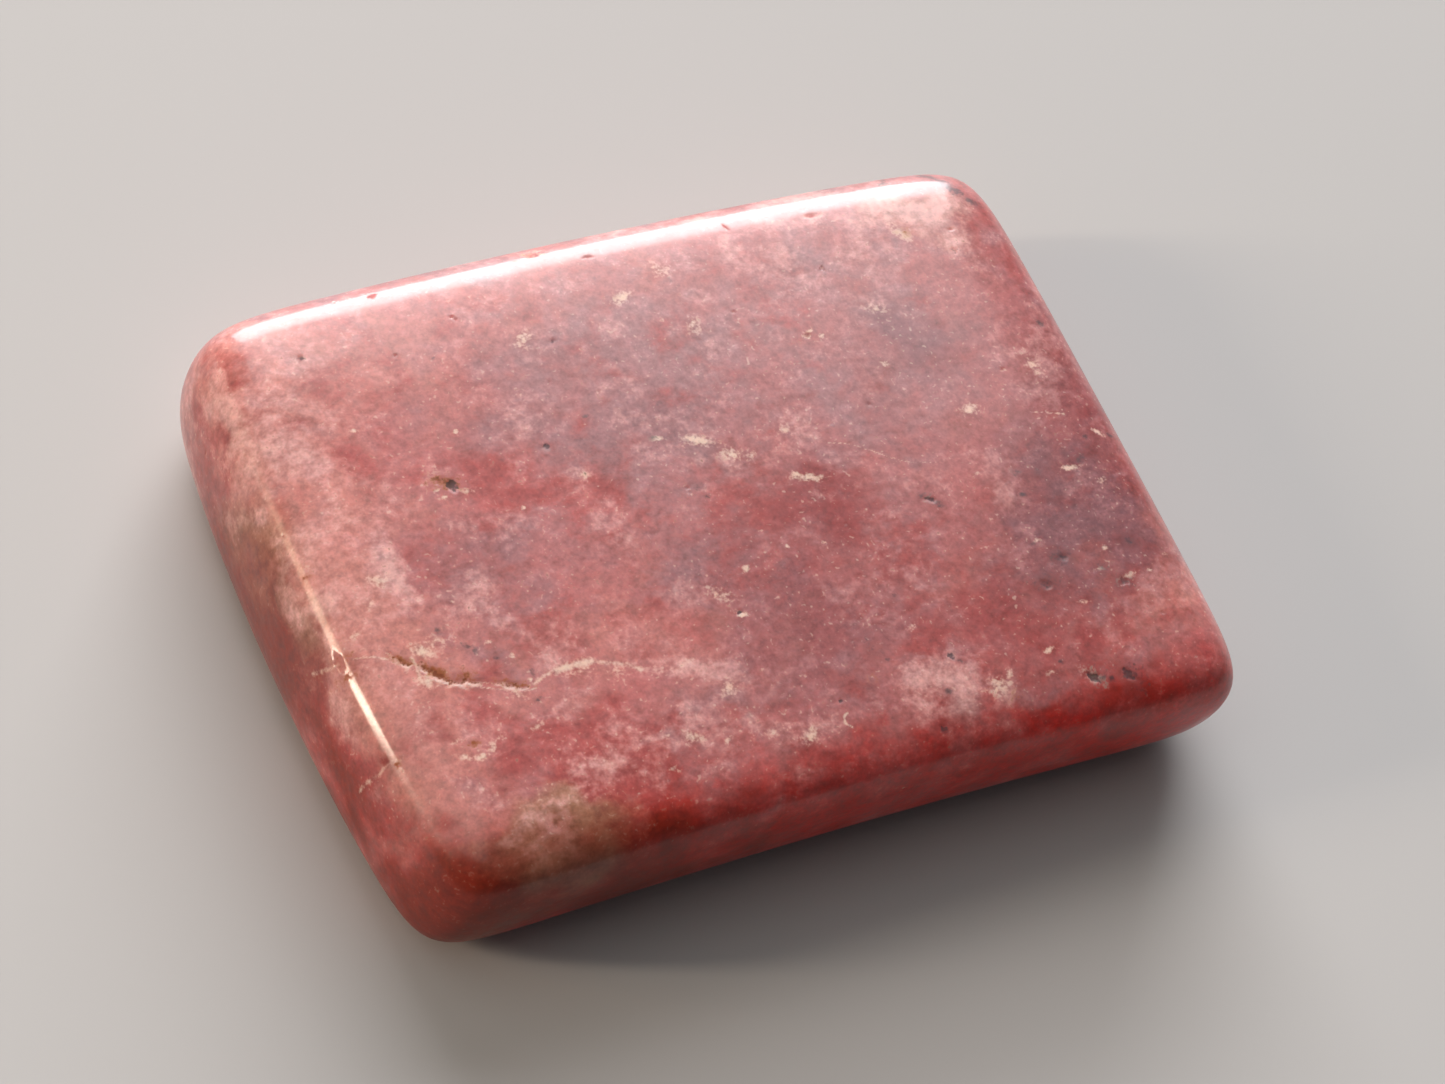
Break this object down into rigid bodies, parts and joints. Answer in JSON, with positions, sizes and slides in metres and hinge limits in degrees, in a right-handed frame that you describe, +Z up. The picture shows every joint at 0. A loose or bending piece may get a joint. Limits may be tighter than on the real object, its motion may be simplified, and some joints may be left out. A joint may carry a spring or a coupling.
{
  "type": "tumbled pink petalite stone",
  "caption": "Flat, oblong tumbled stone of mottled dusty-pink petalite, worn smooth with rounded edges, a short open crack and small dark pits; lies on its flat underside.",
  "frame": {"origin": "on the resting plane, under the middle of the stone's box", "axes": "+X along the long edges, +Y across them towards the edge that is farthest away in the picture, +Z up out of the broad top face"},
  "size_m": [0.0344, 0.0252, 0.007],
  "materials": {
    "polished_petalite": "polished by tumbling, soft gloss, mottled salmon pink, mauve and cream with dark specks"
  },
  "bodies": {
    "root": {"petalite_stone": "polished_petalite"}
  },
  "joints": []
}
